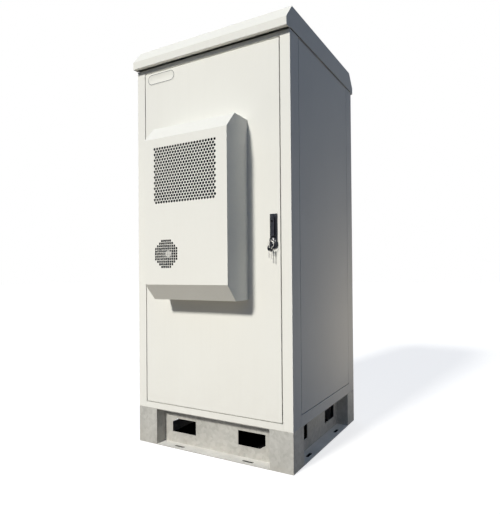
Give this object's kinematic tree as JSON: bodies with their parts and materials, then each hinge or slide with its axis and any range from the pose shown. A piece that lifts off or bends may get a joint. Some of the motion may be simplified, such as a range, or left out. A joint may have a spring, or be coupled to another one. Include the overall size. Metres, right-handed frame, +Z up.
{
  "type": "roadside utility cabinet",
  "caption": "Off-white outdoor equipment cabinet on a galvanised plinth, with a folded roof, a hinged door with swing handle, and a door-mounted air conditioner.",
  "frame": {"origin": "on the floor at the middle of the plinth, which is the middle of the front and rear floor slots", "axes": "+X to the viewer's right, +Y from the door to the rear, +Z up"},
  "size_m": [0.75, 0.934, 1.753],
  "materials": {
    "paint": "off-white powder coat",
    "zinc": "hot dip galvanised",
    "steel": "zinc plated",
    "bright": "polished",
    "black_plastic": "fine grain",
    "black_metal": "satin black",
    "foam": "closed cell foam",
    "rubber": "matt",
    "copper": "bare copper bar",
    "alloy": "bare fins",
    "insulator": "moulded"
  },
  "bodies": {
    "cabinet": {"plinth_post_fl": "zinc", "plinth_post_fr": "zinc", "plinth_post_rl": "zinc", "plinth_post_rr": "zinc", "plinth_channel_front": "zinc", "plinth_channel_rear": "zinc", "plinth_channel_left": "zinc", "plinth_channel_right": "zinc", "plinth_bolts": "steel", "base_tray": "paint", "gland_plate": "zinc", "front_post_left": "paint", "front_post_right": "paint", "rear_post_left": "paint", "rear_post_right": "paint", "top_tray": "paint", "side_panel_left": "paint", "side_panel_right": "paint", "rear_panel": "paint", "insulation_left": "foam", "insulation_right": "foam", "insulation_rear": "foam", "insulation_top": "foam", "roof_brackets": "zinc", "roof_canopy": "paint", "rack_members": "zinc", "rack_rail_fl": "zinc", "rack_rail_fr": "zinc", "rack_rail_rl": "zinc", "rack_rail_rr": "zinc", "earth_bar": "copper", "earth_standoffs": "insulator", "hinge_brackets": "steel", "hinge_pins": "bright", "rod_keepers": "steel"},
    "door": {"door_panel": "paint", "door_stiffeners": "zinc", "door_insulation": "foam", "door_seal": "rubber", "hinge_leaves": "steel", "rod_guides": "black_plastic", "handle_base": "black_plastic", "lock_cylinder": "bright", "ac_hood": "paint", "ac_chassis": "zinc", "ac_coils": "alloy", "ac_compressor": "black_metal", "ac_inner_cover": "paint", "fan_frames": "black_plastic"},
    "handle_spindle": {"handle_spindle": "steel"},
    "handle_lever": {"handle_lever": "black_plastic", "lever_pin": "bright"},
    "lock_plug": {"lock_plug": "bright", "lock_key": "black_plastic"},
    "key_ring": {"key_ring": "steel", "spare_keys": "black_plastic"},
    "upper_rod": {"upper_rod": "steel"},
    "lower_rod": {"lower_rod": "steel"},
    "outer_fan": {"outer_fan_rotor": "black_plastic"},
    "inner_fan": {"inner_fan_rotor": "black_plastic"}
  },
  "joints": [
    {"name": "door_swing", "type": "hinge", "parent": "cabinet", "child": "door", "pos_m": [-0.313, -0.365, 0.911], "axis": [0, 0, -1], "range_deg": [0, 110]},
    {"name": "handle_turn", "type": "hinge", "parent": "door", "child": "handle_spindle", "pos_m": [0.303, -0.382, 0.953], "axis": [0, 1, 0], "range_deg": [0, 90]},
    {"name": "handle_lift", "type": "hinge", "parent": "handle_spindle", "child": "handle_lever", "pos_m": [0.303, -0.3875, 0.953], "axis": [-1, 0, 0], "range_deg": [0, 35]},
    {"name": "key_turn", "type": "hinge", "parent": "door", "child": "lock_plug", "pos_m": [0.303, -0.3845, 0.869], "axis": [0, 1, 0], "range_deg": [0, 90]},
    {"name": "ring_swing", "type": "hinge", "parent": "lock_plug", "child": "key_ring", "pos_m": [0.303, -0.404, 0.8667], "axis": [-1, 0, 0], "range_deg": [-20, 45]},
    {"name": "upper_rod_slide", "type": "slide", "parent": "door", "child": "upper_rod", "axis": [0, 0, -1], "range_m": [0, 0.011]},
    {"name": "lower_rod_slide", "type": "slide", "parent": "door", "child": "lower_rod", "axis": [0, 0, 1], "range_m": [0, 0.011]},
    {"name": "outer_fan_spin", "type": "hinge", "parent": "door", "child": "outer_fan", "pos_m": [-0.0935, -0.5, 0.826], "axis": [0, 1, 0], "continuous": true},
    {"name": "inner_fan_spin", "type": "hinge", "parent": "door", "child": "inner_fan", "pos_m": [-0.0055, -0.29, 0.8255], "axis": [0, 1, 0], "continuous": true}
  ],
  "couplings": [
    {"joint": "handle_turn", "follows": "lower_rod_slide", "rad_per_m": 142.8},
    {"joint": "upper_rod_slide", "follows": "lower_rod_slide", "ratio": 1}
  ]
}
